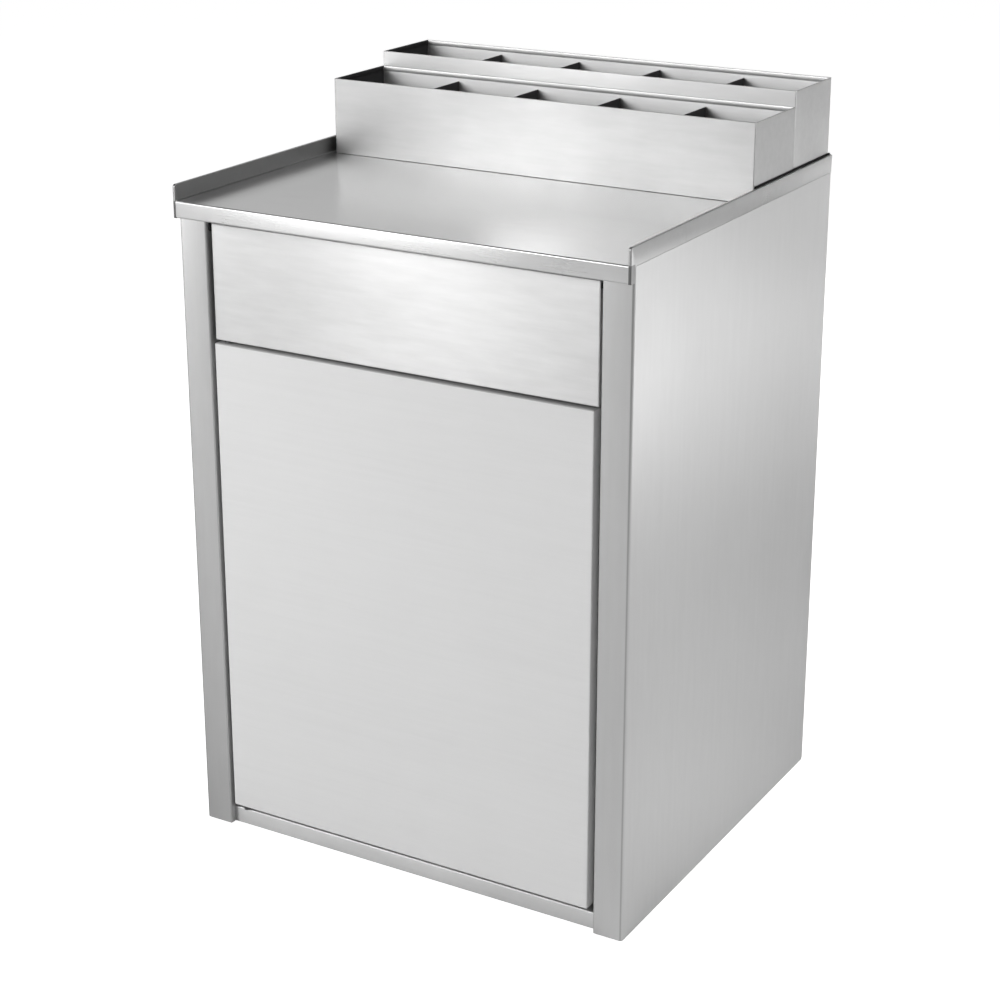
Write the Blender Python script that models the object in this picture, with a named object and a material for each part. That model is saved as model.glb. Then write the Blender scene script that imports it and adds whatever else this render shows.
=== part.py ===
"""Free-standing stainless waste receptacle with a tray counter, a push flap, an
access door with a removable bin behind it, and a two-tier condiment organiser.

Metres, +Z up.  The front faces -Y.  Origin: middle of the footprint, on the floor.
"""

import math

import bmesh
import bpy
from mathutils import Vector

MM = 0.001

# ---------------------------------------------------------------- driving dimensions
CAB_W = 676 * MM            # over the side panels
FRONT_Y = -297.5 * MM       # front face of the stiles
FLANGE_Y = 305.0 * MM       # rear face of the side panels' rear flanges
BACK_Y = 306.5 * MM         # rear face of the back panel
PANEL_Z0 = 2.0 * MM         # lower edge of the sheet metal, the glides stand below it
PANEL_Z1 = 914.0 * MM       # upper edge of the side panels
SHEET = 1.5 * MM            # cabinet sheet
SKIN = 1.2 * MM             # door and flap sheet
BEND = 3.0 * MM             # outer radius of a bend
CORNER_BEND = 4.5 * MM      # cabinet's front corners
TIGHT_BEND = 1.8 * MM       # stile's inner edge, rail, door and flap
BEND_STEPS = 4
GAP = 0.3 * MM              # between pieces that touch

STILE_W = 43 * MM           # folded front stile of a side panel
STILE_RETURN = 25 * MM      # depth of the stile's inner return
REAR_FLANGE = 22 * MM

COUNTER_Z = 917 * MM        # upper face of the counter
COUNTER_FRONT_Y = -308.5 * MM
UPSTAND_Z = 939 * MM
UPSTAND_T = 4 * MM          # folded double
APRON_Z0 = 894 * MM

RAIL_Y = -287.5 * MM        # front of the base pan's turned-down edge
BASE_Z = 26 * MM            # upper face of the base pan
MID_RAIL_Y = -265.5 * MM
MID_RAIL_Z = 727.5 * MM

DOOR_X0 = -289.5 * MM       # hinge edge, close to the stile
DOOR_X1 = 284.7 * MM        # free edge, with room for fingers
DOOR_Y = -295.5 * MM
DOOR_DEPTH = 18 * MM
DOOR_Z0 = 33.5 * MM
DOOR_Z1 = 726.0 * MM
DOOR_AXIS = Vector((-273.7 * MM, -286.0 * MM, 0.0))

FLAP_X = 289.8 * MM         # half width
FLAP_Y = -292.5 * MM
FLAP_DEPTH = 16 * MM
FLAP_Z0 = 730.0 * MM
FLAP_Z1 = 889.5 * MM
FLAP_AXIS = Vector((0.0, -286.0 * MM, 883.0 * MM))

ORG_X0 = -325.4 * MM        # condiment organiser
ORG_X1 = 331.9 * MM
ORG_Y0 = 53.7 * MM
ORG_YM = 182.6 * MM
ORG_Y1 = 306.1 * MM
ORG_FRONT_Z = 1025 * MM
ORG_REAR_Z = 1046 * MM
ORG_WALL = 1.5 * MM
DIVIDER_DROP = 12 * MM      # dividers stop this far below the rim
COMPARTMENTS = 5

BIN_CY = 22 * MM            # middle of the waste bin, front to back

SCREW_X = 327 * MM
SCREW_ZS = (140 * MM, 470 * MM, 800 * MM)
FOOT_X = 290 * MM
FOOT_YS = (("front", -240 * MM), ("rear", 262 * MM))

# ---------------------------------------------------------------- scene and materials
for old in list(bpy.data.objects):
    bpy.data.objects.remove(old, do_unlink=True)


def material(name, colour, metallic, roughness):
    made = bpy.data.materials.new(name)
    made.use_nodes = True
    made.diffuse_color = (*colour, 1.0)
    shader = made.node_tree.nodes["Principled BSDF"]
    shader.inputs["Base Color"].default_value = (*colour, 1.0)
    shader.inputs["Metallic"].default_value = metallic
    shader.inputs["Roughness"].default_value = roughness
    return made


STEEL = material("stainless_brushed", (0.66, 0.66, 0.66), 1.0, 0.34)
STEEL_DOOR = material("stainless_satin", (0.72, 0.72, 0.72), 1.0, 0.48)
STEEL_INNER = material("stainless_mill", (0.52, 0.52, 0.52), 1.0, 0.5)
ZINC = material("zinc_plated", (0.60, 0.61, 0.62), 1.0, 0.35)
RUBBER = material("rubber_black", (0.03, 0.03, 0.03), 0.0, 0.75)
NYLON = material("nylon_black", (0.05, 0.05, 0.05), 0.0, 0.5)
POLY = material("polyethylene_grey", (0.23, 0.24, 0.25), 0.0, 0.55)


# ---------------------------------------------------------------- modelling helpers
def place(name, bm, mat, origin=(0, 0, 0), parent=None):
    """One object from a mesh made in world coordinates, with its origin where asked."""
    bmesh.ops.recalc_face_normals(bm, faces=bm.faces)
    origin = Vector(origin)
    bmesh.ops.translate(bm, verts=bm.verts, vec=-origin)
    mesh = bpy.data.meshes.new(name)
    bm.to_mesh(mesh)
    bm.free()
    mesh.materials.append(mat)
    made = bpy.data.objects.new(name, mesh)
    bpy.context.scene.collection.objects.link(made)
    if parent is None:
        made.location = origin
    else:
        made.parent = parent
        made.location = origin - parent.location
    return made


def axis_empty(name, location):
    made = bpy.data.objects.new(name, None)
    made.location = location
    made.empty_display_size = 0.05
    bpy.context.scene.collection.objects.link(made)
    return made


def smooth(obj, degrees=40):
    obj.data.shade_smooth()
    obj.data.set_sharp_from_angle(angle=math.radians(degrees))


def bridge(bm, rows, ring=False):
    """Quads between each row of points and the next; every row is a closed loop."""
    made = [[bm.verts.new(p) for p in row] for row in rows]
    pairs = list(zip(made, made[1:]))
    if ring:
        pairs.append((made[-1], made[0]))
    for low, high in pairs:
        for i in range(len(low)):
            j = (i + 1) % len(low)
            bm.faces.new((low[i], low[j], high[j], high[i]))
    return made


def loft(rows):
    bm = bmesh.new()
    made = bridge(bm, rows)
    bm.faces.new(list(reversed(made[0])))
    bm.faces.new(made[-1])
    return bm


def tube_of(rows):
    bm = bmesh.new()
    bridge(bm, rows, ring=True)
    return bm


def box(x0, x1, y0, y1, z0, z1):
    rows = [
        [(x, y, z) for x, y in ((x0, y0), (x1, y0), (x1, y1), (x0, y1))]
        for z in (z0, z1)
    ]
    return loft(rows)


def bent(path, t, radius=BEND, steps=BEND_STEPS):
    """The two sides of a bent strip. path is its outer face; the metal lies on the
    left of travel. Each side has the same number of points. radius is one number, or
    one for each bend."""
    outer, inner = [], []
    radii = list(radius) if isinstance(radius, tuple) else [radius] * (len(path) - 2)
    points = [Vector(p) for p in path]
    for i, p in enumerate(points):
        before = (p - points[i - 1]).normalized() if i else None
        after = (points[i + 1] - p).normalized() if i + 1 < len(points) else None
        if before is None or after is None:
            d = before or after
            outer.append(p)
            inner.append(p + Vector((-d.y, d.x)) * t)
            continue
        turn = math.atan2(before.x * after.y - before.y * after.x, before.dot(after))
        side = 1.0 if turn > 0 else -1.0
        r_out = radii[i - 1] if side > 0 else radii[i - 1] - t
        r_in = r_out - side * t
        normal = Vector((-before.y, before.x)) * side
        centre = p - before * (r_out * math.tan(abs(turn) / 2)) + normal * r_out
        start = math.atan2(-normal.y, -normal.x)
        for k in range(steps + 1):
            a = start + turn * k / steps
            ray = Vector((math.cos(a), math.sin(a)))
            outer.append(centre + ray * r_out)
            inner.append(centre + ray * r_in)
    return outer, inner


def strip(path, t, along, lo, hi, radius=BEND):
    """A bent strip drawn in a plane and pulled along the third axis."""
    outer, inner = bent(path, t, radius)
    spot = {
        "X": lambda p, s: (s, p.x, p.y),
        "Y": lambda p, s: (p.x, s, p.y),
        "Z": lambda p, s: (p.x, p.y, s),
    }[along]
    bm = bmesh.new()
    ends = []
    for s in (lo, hi):
        ends.append(
            (
                [bm.verts.new(spot(p, s)) for p in outer],
                [bm.verts.new(spot(p, s)) for p in inner],
            )
        )
    count = len(outer)
    for o, n in ends:
        for i in range(count - 1):
            bm.faces.new((o[i], o[i + 1], n[i + 1], n[i]))
    (o0, n0), (o1, n1) = ends
    for i in range(count - 1):
        bm.faces.new((o0[i], o0[i + 1], o1[i + 1], o1[i]))
        bm.faces.new((n0[i], n0[i + 1], n1[i + 1], n1[i]))
    for i in (0, count - 1):
        bm.faces.new((o0[i], n0[i], n1[i], o1[i]))
    return bm


def rounded(hx, hy, r, steps):
    """A rounded rectangle about the origin, as plane points."""
    found = []
    for cx, cy, a0 in (
        (hx - r, hy - r, 0.0),
        (-hx + r, hy - r, 0.5),
        (-hx + r, -hy + r, 1.0),
        (hx - r, -hy + r, 1.5),
    ):
        for k in range(steps + 1):
            a = math.pi * (a0 + 0.5 * k / steps)
            found.append((cx + r * math.cos(a), cy + r * math.sin(a)))
    return found


def pan(x0, x1, z0, z1, face_y, depth, t, bend_r=TIGHT_BEND, steps=4):
    """A shallow folded pan with its closed face to the front."""
    hx, cx = (x1 - x0) / 2, (x0 + x1) / 2
    hz, cz = (z1 - z0) / 2, (z0 + z1) / 2

    def loop(inset, y):
        corner = max(1.6 * MM - inset * 0.5, 0.4 * MM)
        return [
            (cx + x, y, cz + z)
            for x, z in rounded(hx - inset, hz - inset, corner, 2)
        ]

    rows = []
    r_in = bend_r - t
    for k in range(steps, -1, -1):
        a = 0.5 * math.pi * k / steps
        rows.append(loop(bend_r - r_in * math.cos(a), face_y + bend_r - r_in * math.sin(a)))
    rows.append(loop(t, face_y + depth))
    rows.append(loop(0.0, face_y + depth))
    for k in range(steps + 1):
        a = 0.5 * math.pi * k / steps
        rows.append(loop(bend_r - bend_r * math.cos(a), face_y + bend_r - bend_r * math.sin(a)))
    return loft(rows)


def turned(profile, centre, along="Z", segments=20, ring=False):
    """A turned piece: profile holds (radius, distance along the axis)."""
    rows = []
    for r, s in profile:
        row = []
        for k in range(segments):
            a = 2 * math.pi * k / segments
            u, v = r * math.cos(a), r * math.sin(a)
            local = {"Z": (u, v, s), "X": (s, u, v), "Y": (v, s, u)}[along]
            row.append(Vector(centre) + Vector(local))
        rows.append(row)
    return tube_of(rows) if ring else loft(rows)


def helper(name, bm, parent=None):
    made = place(name, bm, STEEL_INNER, (0, 0, 0), None)
    made.hide_render = True
    made.display_type = "WIRE"
    made.data.materials.clear()
    return made


def boolean(obj, other, operation):
    mod = obj.modifiers.new(operation.lower() + "_" + other.name, "BOOLEAN")
    mod.operation = operation
    mod.solver = "EXACT"
    mod.object = other
    return mod


def drill(obj, name, radius, centre, along, lo, hi, segments=20):
    boolean(
        obj,
        helper("cut_" + name, turned(((radius, lo), (radius, hi)), centre, along, segments)),
        "DIFFERENCE",
    )


def mirrored(path):
    """The same strip on the other side: mirrored in X and travelled backwards."""
    return [(-x, y) for x, y in reversed(path)]


# ---------------------------------------------------------------- cabinet carcase
HALF = CAB_W / 2
STILE_X = HALF - STILE_W
INNER_X = HALF - SHEET - GAP

side_path = [
    (-HALF + REAR_FLANGE, FLANGE_Y),
    (-HALF, FLANGE_Y),
    (-HALF, FRONT_Y),
    (-STILE_X, FRONT_Y),
    (-STILE_X, FRONT_Y + STILE_RETURN),
]
side_bends = (BEND, CORNER_BEND, TIGHT_BEND)
left_panel = place(
    "left_side_panel",
    strip(side_path, SHEET, "Z", PANEL_Z0, PANEL_Z1, side_bends), STEEL,
)
right_panel = place(
    "right_side_panel",
    strip(mirrored(side_path), SHEET, "Z", PANEL_Z0, PANEL_Z1, side_bends[::-1]), STEEL,
)
for tag, obj, side in (("left", left_panel, -1), ("right", right_panel, 1)):
    drill(
        obj, "flap_bush_" + tag, 6.3 * MM,
        (side * STILE_X, FLAP_AXIS.y, FLAP_AXIS.z), "X", -8 * MM, 8 * MM,
    )
    for n, z in enumerate(SCREW_ZS):
        drill(
            obj, "flange_%s_%d" % (tag, n), 2.5 * MM,
            (side * SCREW_X, FLANGE_Y, z), "Y", -6 * MM, 6 * MM, 12,
        )

back = place(
    "back_panel",
    box(-HALF + 1 * MM, HALF - 1 * MM, FLANGE_Y + GAP, BACK_Y, 4 * MM, PANEL_Z1 - 1 * MM),
    STEEL_INNER,
)
for tag, side in (("left", -1), ("right", 1)):
    for n, z in enumerate(SCREW_ZS):
        drill(
            back, "back_%s_%d" % (tag, n), 2.5 * MM,
            (side * SCREW_X, BACK_Y, z), "Y", -6 * MM, 6 * MM, 12,
        )
        head = turned(
            (
                (2.0 * MM, -7 * MM),
                (2.0 * MM, GAP),
                (4.6 * MM, GAP),
                (4.4 * MM, 1.2 * MM),
                (3.0 * MM, 1.85 * MM),
                (1.2 * MM, 2.0 * MM),
            ),
            (side * SCREW_X, BACK_Y, z), "Y", 14,
        )
        smooth(place("back_screw_%s_%d" % (tag, n + 1), head, ZINC))

base = place(
    "base_pan",
    strip(
        [
            (FLANGE_Y - 5 * MM, 4 * MM),
            (FLANGE_Y - 5 * MM, BASE_Z),
            (RAIL_Y, BASE_Z),
            (RAIL_Y, PANEL_Z0),
        ],
        SHEET, "X", -INNER_X, INNER_X, TIGHT_BEND,
    ),
    STEEL,
)
for tag, side in (("left", -1), ("right", 1)):
    a, b = sorted((side * (STILE_X - GAP), side * (HALF + 10 * MM)))
    boolean(
        base,
        helper(
            "cut_base_notch_" + tag,
            box(a, b, FRONT_Y - 10 * MM, FRONT_Y + STILE_RETURN + 1 * MM, -10 * MM, 60 * MM),
        ),
        "DIFFERENCE",
    )

place(
    "front_header",
    strip(
        [
            (-262 * MM, PANEL_Z1 - GAP),
            (-293 * MM, PANEL_Z1 - GAP),
            (-293 * MM, 895.3 * MM),
            (-281 * MM, 895.3 * MM),
        ],
        SHEET, "X", -STILE_X + GAP, STILE_X - GAP,
    ),
    STEEL_INNER,
)
place(
    "rear_top_rail",
    strip(
        [
            (FLANGE_Y - SHEET - GAP, 880 * MM),
            (FLANGE_Y - SHEET - GAP, PANEL_Z1 - GAP),
            (268 * MM, PANEL_Z1 - GAP),
        ],
        SHEET, "X", -INNER_X + 2 * MM, INNER_X - 2 * MM,
    ),
    STEEL_INNER,
)
place(
    "mid_rail",
    strip(
        [
            (-236 * MM, MID_RAIL_Z),
            (MID_RAIL_Y, MID_RAIL_Z),
            (MID_RAIL_Y, 690 * MM),
            (-252 * MM, 690 * MM),
        ],
        SHEET, "X", -INNER_X, INNER_X,
    ),
    STEEL_INNER,
)

# ---------------------------------------------------------------- counter
counter = place(
    "counter_top",
    strip(
        [
            (BACK_Y - 0.2 * MM, COUNTER_Z),
            (COUNTER_FRONT_Y + 0.3 * MM, COUNTER_Z),
            (COUNTER_FRONT_Y + 0.3 * MM, APRON_Z0),
            (FRONT_Y - 1.5 * MM, APRON_Z0),
        ],
        SHEET, "X", -HALF + UPSTAND_T - 0.5 * MM, HALF - UPSTAND_T + 0.5 * MM,
    ),
    STEEL,
)
for tag, side in (("left", -1), ("right", 1)):
    edge = [
        (COUNTER_FRONT_Y, APRON_Z0 - 0.2 * MM),
        (FRONT_Y - 0.5 * MM, APRON_Z0 - 0.2 * MM),
        (FRONT_Y - 0.5 * MM, PANEL_Z1 + GAP),
        (BACK_Y, PANEL_Z1 + GAP),
        (BACK_Y, UPSTAND_Z),
    ]
    corner = 4 * MM
    for k in range(5):
        a = 0.5 * math.pi * (1 + k / 4)
        edge.append(
            (
                COUNTER_FRONT_Y + corner + corner * math.cos(a),
                UPSTAND_Z - corner + corner * math.sin(a),
            )
        )
    rows = [
        [(x, y, z) for y, z in edge]
        for x in (side * (HALF - UPSTAND_T), side * HALF)
    ]
    boolean(counter, helper("add_upstand_" + tag, loft(rows)), "UNION")

# ---------------------------------------------------------------- feet, bin and guides
for tag, y in FOOT_YS:
    for hand, side in (("left", -1), ("right", 1)):
        glide = turned(
            (
                (15 * MM, 0.0),
                (18 * MM, 1.5 * MM),
                (18 * MM, 5 * MM),
                (8 * MM, 9 * MM),
                (5 * MM, 9.5 * MM),
                (5 * MM, BASE_Z - SHEET - GAP),
            ),
            (side * FOOT_X, y, 0.0), "Z", 24,
        )
        smooth(place("glide_%s_%s" % (tag, hand), glide, NYLON))

bin_rows = []
for hx, hy, r, z in (
    (229, 209, 34, 32.3),
    (231.5, 211.5, 37, 31.0),
    (260, 240, 44, 648),
    (260, 240, 44, 656),
    (263, 243, 46, 659),
    (273, 253, 54, 659),
    (275, 255, 56, 657),
    (275, 255, 56, 640),
    (271.5, 251.5, 52.5, 640),
    (271.5, 251.5, 52.5, 655),
    (264, 244, 46, 655),
    (263.5, 243.5, 45.5, 648),
    (235, 215, 40, 30),
    (231, 211, 36, 26.3),
):
    bin_rows.append(
        [
            (x, BIN_CY + y, z * MM)
            for x, y in rounded(hx * MM, hy * MM, r * MM, 4)
        ]
    )
waste_bin = place("waste_bin", loft(bin_rows), POLY, (0, BIN_CY, BASE_Z))
smooth(waste_bin, 35)

for tag, side in (("left", -1), ("right", 1)):
    grip = []
    for x in (side * 215 * MM, side * 269 * MM):
        grip.append(
            [
                (x, BIN_CY + y, 606 * MM + z)
                for y, z in rounded(58 * MM, 15 * MM, 14 * MM, 4)
            ]
        )
    boolean(waste_bin, helper("cut_grip_" + tag, loft(grip)), "DIFFERENCE")
    guide = [
        (-268 * MM, BASE_Z + GAP + SHEET),
        (-242 * MM - SHEET, BASE_Z + GAP + SHEET),
        (-242 * MM - SHEET, 58 * MM),
    ]
    # the rail's outer face is the one towards the bin
    path = [(-x, z) for x, z in guide] if side > 0 else list(reversed(guide))
    place(
        "bin_guide_" + tag,
        strip(path, SHEET, "Y", -212 * MM, 245 * MM),
        STEEL_INNER,
    )

# ---------------------------------------------------------------- push flap
flap_axis = axis_empty("flap_axis", FLAP_AXIS)
flap = place(
    "flap_panel",
    pan(-FLAP_X, FLAP_X, FLAP_Z0, FLAP_Z1, FLAP_Y, FLAP_DEPTH, SKIN),
    STEEL, FLAP_AXIS, flap_axis,
)
place(
    "flap_inner_panel",
    box(
        -FLAP_X + SKIN + GAP, FLAP_X - SKIN - GAP,
        FLAP_Y + FLAP_DEPTH - 1.6 * MM, FLAP_Y + FLAP_DEPTH - 0.6 * MM,
        FLAP_Z0 + SKIN + GAP, FLAP_Z1 - SKIN - GAP,
    ),
    STEEL_INNER, FLAP_AXIS, flap_axis,
)
for tag, side in (("left", -1), ("right", 1)):
    drill(
        flap, "flap_pin_" + tag, 3.8 * MM,
        (side * FLAP_X, FLAP_AXIS.y, FLAP_AXIS.z), "X", -4 * MM, 4 * MM, 16,
    )
    pin = turned(
        tuple(
            (r * MM, side * s * MM)
            for r, s in ((4.4, 281.8), (4.8, 282.3), (4.8, 288.2), (3.5, 288.2), (3.5, 299), (2.9, 299.8))
        ),
        (0, FLAP_AXIS.y, FLAP_AXIS.z), "X", 16,
    )
    smooth(place("flap_pivot_pin_" + tag, pin, ZINC, FLAP_AXIS, flap_axis))
    bush = turned(
        tuple(
            (r * MM, side * s * MM)
            for r, s in ((3.9, 293.8), (3.9, 298.6), (9.0, 298.6), (9.0, 296.9), (6.0, 296.9), (6.0, 293.8))
        ),
        (0, FLAP_AXIS.y, FLAP_AXIS.z), "X", 20, ring=True,
    )
    smooth(place("flap_pivot_bush_" + tag, bush, NYLON))
    # a rubber strip under the header's lip, in front of the path of the flap's upper edge
    place(
        "flap_stop_" + tag,
        box(
            side * 205 * MM - 22 * MM, side * 205 * MM + 22 * MM,
            -293.2 * MM, -291.0 * MM, FLAP_Z1 + 0.4 * MM, 895.0 * MM,
        ),
        RUBBER,
    )

# ---------------------------------------------------------------- access door
door_axis = axis_empty("door_axis", DOOR_AXIS)
door = place(
    "door_panel",
    pan(DOOR_X0, DOOR_X1, DOOR_Z0, DOOR_Z1, DOOR_Y, DOOR_DEPTH, SKIN),
    STEEL_DOOR, DOOR_AXIS, door_axis,
)
place(
    "door_inner_panel",
    box(
        DOOR_X0 + SKIN + GAP, DOOR_X1 - SKIN - GAP,
        DOOR_Y + DOOR_DEPTH - 1.3 * MM, DOOR_Y + DOOR_DEPTH - 0.3 * MM,
        DOOR_Z0 + SKIN + GAP, DOOR_Z1 - SKIN - GAP,
    ),
    STEEL_INNER, DOOR_AXIS, door_axis,
)
place(
    "door_stiffener",
    strip(
        [
            (32 * MM, DOOR_Y + DOOR_DEPTH - 1.6 * MM),
            (-32 * MM, DOOR_Y + DOOR_DEPTH - 1.6 * MM),
            (-32 * MM, DOOR_Y + SKIN + GAP),
            (-12 * MM, DOOR_Y + SKIN + GAP),
        ],
        SKIN, "Z", DOOR_Z0 + 40 * MM, DOOR_Z1 - 40 * MM,
    ),
    STEEL_INNER, DOOR_AXIS, door_axis,
)
for tag, z, up in (("upper", DOOR_Z1, 1), ("lower", DOOR_Z0, -1)):
    drill(
        door, "door_pin_" + tag, 3.3 * MM,
        (DOOR_AXIS.x, DOOR_AXIS.y, z), "Z", -4 * MM, 4 * MM, 16,
    )
    reach = 2.8 * MM if up > 0 else 6.9 * MM
    inside = SKIN + GAP
    pin = turned(
        (
            (6.0 * MM, up * -(inside + 9 * MM)),
            (6.5 * MM, up * -(inside + 8.5 * MM)),
            (6.5 * MM, up * -inside),
            (3.0 * MM, up * -inside),
            (3.0 * MM, up * (reach - 0.6 * MM)),
            (2.4 * MM, up * reach),
        ),
        (DOOR_AXIS.x, DOOR_AXIS.y, z), "Z", 16,
    )
    smooth(place("door_pivot_pin_" + tag, pin, ZINC, DOOR_AXIS, door_axis))

place(
    "strike_plate",
    box(238 * MM, 274 * MM, DOOR_Y + DOOR_DEPTH + GAP, DOOR_Y + DOOR_DEPTH + 1.6 * MM, 696 * MM, 714 * MM),
    ZINC, DOOR_AXIS, door_axis,
)
place(
    "magnet_catch",
    box(236 * MM, 276 * MM, -275.4 * MM, MID_RAIL_Y - GAP, 694 * MM, 716 * MM),
    NYLON,
)
for tag, x in (("left", -170 * MM), ("right", 170 * MM)):
    dot = turned(
        (
            (5.5 * MM, DOOR_Y + DOOR_DEPTH + 0.6 * MM),
            (7.0 * MM, DOOR_Y + DOOR_DEPTH + 2.4 * MM),
            (7.0 * MM, MID_RAIL_Y - GAP),
        ),
        (x, 0, 706 * MM), "Y", 16,
    )
    smooth(place("door_bumper_" + tag, dot, RUBBER))

for tag, z0, z1 in (
    ("upper", MID_RAIL_Z + GAP, MID_RAIL_Z + 1.5 * MM),
    ("lower", BASE_Z + GAP, BASE_Z + 2.3 * MM),
):
    # a strap with a round tongue that holds the pin
    outline = [(-292 * MM, -240 * MM), (-292 * MM, -277 * MM)]
    for k in range(13):
        a = math.pi * (170 + 200 * k / 12) / 180
        outline.append((DOOR_AXIS.x + 5.2 * MM * math.cos(a), DOOR_AXIS.y + 5.2 * MM * math.sin(a)))
    outline += [(-252 * MM, -277 * MM), (-252 * MM, -240 * MM)]
    strap = place(
        "door_pivot_bracket_" + tag,
        loft([[(x, y, z) for x, y in outline] for z in (z0, z1)]),
        ZINC,
    )
    drill(
        strap, "bracket_" + tag, 3.4 * MM,
        (DOOR_AXIS.x, DOOR_AXIS.y, z0), "Z", -6 * MM, 8 * MM, 16,
    )
washer = turned(
    (
        (3.6 * MM, BASE_Z + 2.6 * MM),
        (5.8 * MM, BASE_Z + 2.6 * MM),
        (5.8 * MM, DOOR_Z0 - GAP),
        (3.6 * MM, DOOR_Z0 - GAP),
    ),
    (DOOR_AXIS.x, DOOR_AXIS.y, 0), "Z", 20, ring=True,
)
smooth(place("door_thrust_washer", washer, NYLON))

# ---------------------------------------------------------------- condiment organiser
def tray(name, y0, y1, z1):
    z0 = COUNTER_Z + GAP
    w = ORG_WALL
    lift = axis_empty(name + "_lift", Vector(((ORG_X0 + ORG_X1) / 2, (y0 + y1) / 2, z0)))

    def loop(inset, z):
        return [
            (x, y, z)
            for x, y in (
                (ORG_X0 + inset, y0 + inset),
                (ORG_X1 - inset, y0 + inset),
                (ORG_X1 - inset, y1 - inset),
                (ORG_X0 + inset, y1 - inset),
            )
        ]

    shell = loft([loop(w, z0 + w), loop(w, z1), loop(0, z1), loop(0, z0)])
    place(name, shell, STEEL, lift.location, lift)
    pitch = (ORG_X1 - ORG_X0) / COMPARTMENTS
    for n in range(1, COMPARTMENTS):
        x = ORG_X0 + pitch * n
        plate = box(
            x - w / 2, x + w / 2,
            y0 + w + GAP, y1 - w - GAP,
            z0 + w + GAP, z1 - DIVIDER_DROP,
        )
        place("%s_divider_%d" % (name, n), plate, STEEL, lift.location, lift)


tray("organiser_front", ORG_Y0, ORG_YM - GAP, ORG_FRONT_Z)
tray("organiser_rear", ORG_YM + GAP, ORG_Y1, ORG_REAR_Z)
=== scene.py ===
"""Looks of the waste receptacle: brushed stainless sheet, studio light and camera.

Metres, +Z up, the front faces -Y.
"""

import math

import bmesh
import bpy
from mathutils import Matrix, Vector


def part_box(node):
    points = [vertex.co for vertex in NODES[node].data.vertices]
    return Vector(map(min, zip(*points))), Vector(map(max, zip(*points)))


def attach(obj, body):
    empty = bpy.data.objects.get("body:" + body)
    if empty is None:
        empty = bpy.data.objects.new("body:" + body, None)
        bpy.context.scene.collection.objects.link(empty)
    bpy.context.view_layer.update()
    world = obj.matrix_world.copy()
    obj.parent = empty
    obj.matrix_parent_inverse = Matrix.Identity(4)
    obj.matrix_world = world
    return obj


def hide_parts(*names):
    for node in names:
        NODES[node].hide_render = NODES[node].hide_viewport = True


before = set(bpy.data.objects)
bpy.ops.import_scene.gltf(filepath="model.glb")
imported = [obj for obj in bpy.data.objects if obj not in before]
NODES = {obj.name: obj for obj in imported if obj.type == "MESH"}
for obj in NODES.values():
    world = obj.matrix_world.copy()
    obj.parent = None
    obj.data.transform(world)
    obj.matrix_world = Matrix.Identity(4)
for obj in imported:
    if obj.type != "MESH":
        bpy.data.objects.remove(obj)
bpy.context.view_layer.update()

MM = 0.001
scene = bpy.context.scene


# ---------------------------------------------------------------- node helpers
class Tree:
    """Short forms for building a shader."""

    def __init__(self, tree):
        self.tree = tree
        tree.nodes.clear()

    def add(self, kind, **settings):
        node = self.tree.nodes.new(kind)
        for key, value in settings.items():
            if key in node.inputs and not hasattr(type(node), key):
                node.inputs[key].default_value = value
            else:
                setattr(node, key, value)
        return node

    def link(self, a, b):
        self.tree.links.new(a, b)

    def put(self, value, socket):
        """A number or colour is set on the socket, an output is linked to it."""
        if isinstance(value, bpy.types.NodeSocket):
            self.link(value, socket)
        else:
            socket.default_value = value

    def math(self, operation, a, b=0.0, c=0.0):
        node = self.add("ShaderNodeMath", operation=operation)
        for value, socket in zip((a, b, c), node.inputs):
            self.put(value, socket)
        return node.outputs[0]

    def noise(self, coords, scale, detail=2.0, rough=0.5, offset=(0.0, 0.0, 0.0)):
        """3-D noise; scale is in features per metre along each axis."""
        mapping = self.add("ShaderNodeMapping")
        mapping.inputs["Scale"].default_value = scale
        mapping.inputs["Location"].default_value = offset
        self.link(coords, mapping.inputs["Vector"])
        noise = self.add("ShaderNodeTexNoise")
        noise.inputs["Scale"].default_value = 1.0
        noise.inputs["Detail"].default_value = detail
        noise.inputs["Roughness"].default_value = rough
        self.link(mapping.outputs[0], noise.inputs["Vector"])
        return noise.outputs["Fac"]

    def remap(self, value, low, high, to_low, to_high):
        node = self.add("ShaderNodeMapRange")
        node.inputs["From Min"].default_value = low
        node.inputs["From Max"].default_value = high
        node.inputs["To Min"].default_value = to_low
        node.inputs["To Max"].default_value = to_high
        self.link(value, node.inputs["Value"])
        return node.outputs[0]

    def mix(self, factor, a, b):
        node = self.add("ShaderNodeMix", data_type="RGBA")
        self.put(factor, node.inputs["Factor"])
        self.put(a, node.inputs[6])
        self.put(b, node.inputs[7])
        return node.outputs[2]


def new_material(name):
    made = bpy.data.materials.new(name)
    made.use_nodes = True
    return made, Tree(made.node_tree)


def grain_scale(grain, along, across):
    return tuple(along if abs(g) > 0.5 else across for g in grain)


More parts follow.
